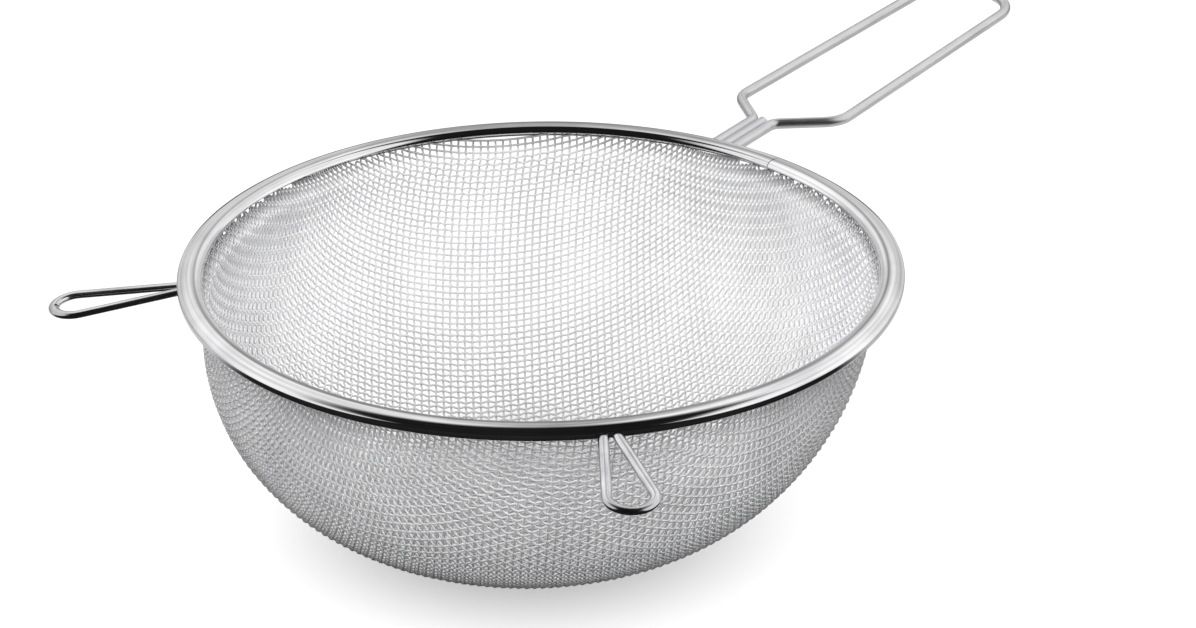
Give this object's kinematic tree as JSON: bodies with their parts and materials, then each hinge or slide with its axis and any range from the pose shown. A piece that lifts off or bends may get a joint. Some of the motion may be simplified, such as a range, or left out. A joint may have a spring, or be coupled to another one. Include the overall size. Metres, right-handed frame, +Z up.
{
  "type": "kitchen sieve",
  "caption": "Round-bottomed wire mesh bowl in a rolled steel rim, with a bent wire handle and small wire loops that rest on a pot's edge",
  "frame": {"origin": "under the middle of the rim, level with the lowest point of the bowl, where the bowl stands on a table", "axes": "+Z up along the rim's axis, +X out along the handle, +Y to the left of the handle"},
  "size_m": [0.3513, 0.2093, 0.0823],
  "materials": {
    "rim_steel": "rolled bright stainless sheet with faint scratches along the rim",
    "wire_steel": "bright drawn stainless wire, a little dulled by use",
    "mesh_steel": "fine plain-woven stainless wire"
  },
  "bodies": {
    "root": {"rim_band": "rim_steel", "hoop_wire": "wire_steel", "mesh_bowl": "mesh_steel", "handle": "wire_steel", "neck_spacer": "wire_steel", "rest_loop_left": "wire_steel", "rest_loop_right": "wire_steel"}
  },
  "joints": []
}
